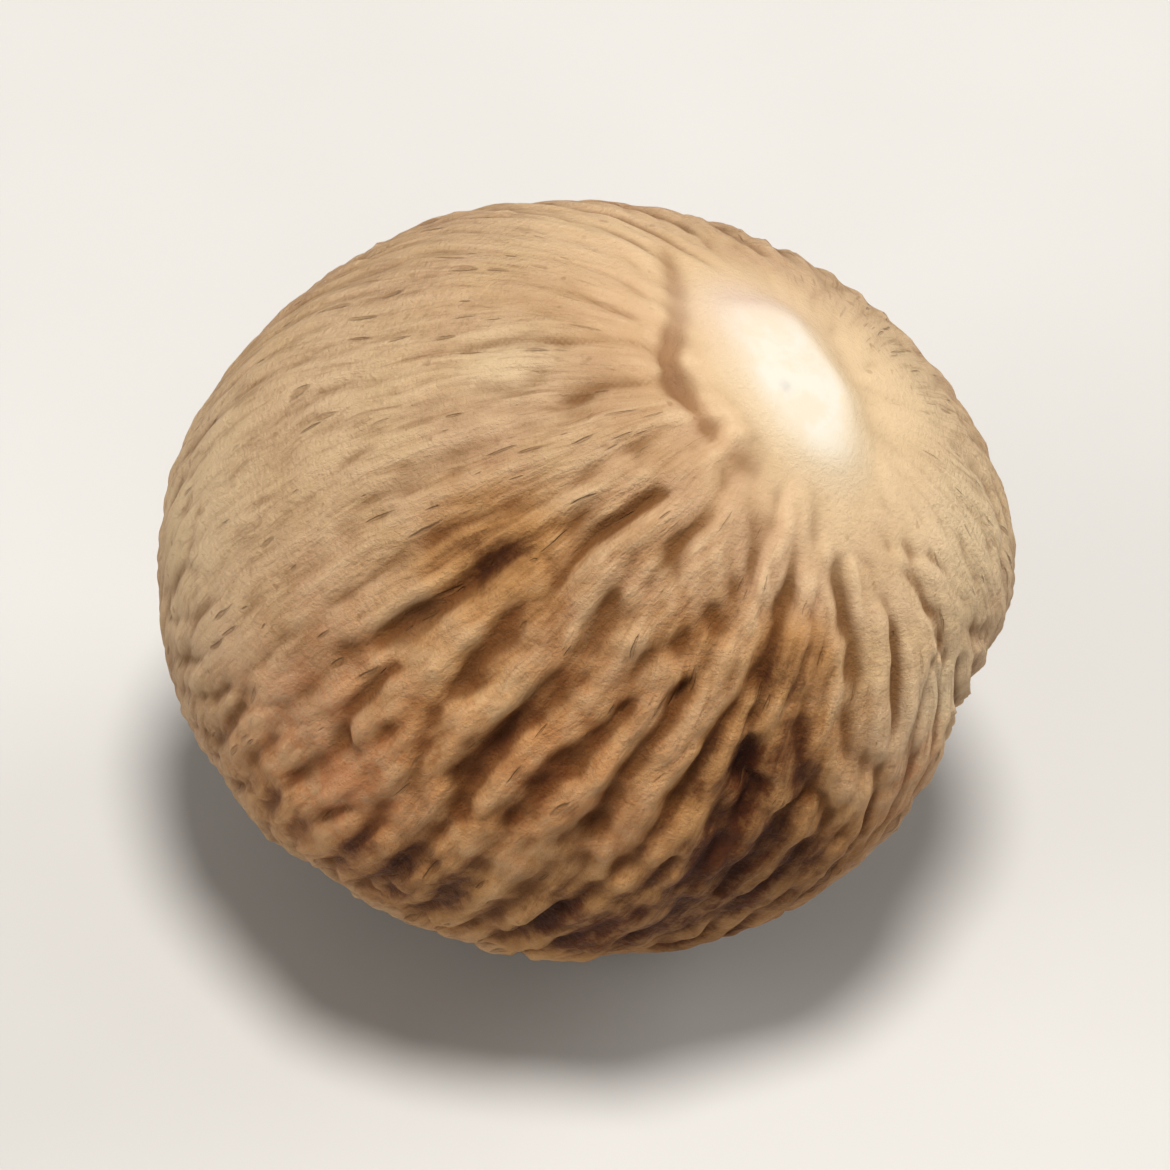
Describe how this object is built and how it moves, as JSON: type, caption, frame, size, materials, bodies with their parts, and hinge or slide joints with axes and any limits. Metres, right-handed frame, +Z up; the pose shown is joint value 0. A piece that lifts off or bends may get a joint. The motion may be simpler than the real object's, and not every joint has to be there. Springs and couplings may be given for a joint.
{
  "type": "whole nutmeg",
  "caption": "Whole shelled nutmeg: an egg-shaped, wrinkled brown kernel with a pale oval stalk scar, creases that fan out from it, and a small pit at the other end.",
  "frame": {"origin": "middle of the bottom of the bounding box, at the level of the small flat spot that the kernel rests on", "axes": "+Z up; the stalk scar points up and leans towards +X, and the front of the kernel, with its deepest creases, faces -Y"},
  "size_m": [0.0242, 0.0204, 0.0247],
  "materials": {
    "kernel_skin": "dry, matt brown seed skin, paler and dusty on the ridges, darker in the creases, with a smooth cream scar"
  },
  "bodies": {
    "root": {"nutmeg": "kernel_skin"}
  },
  "joints": []
}
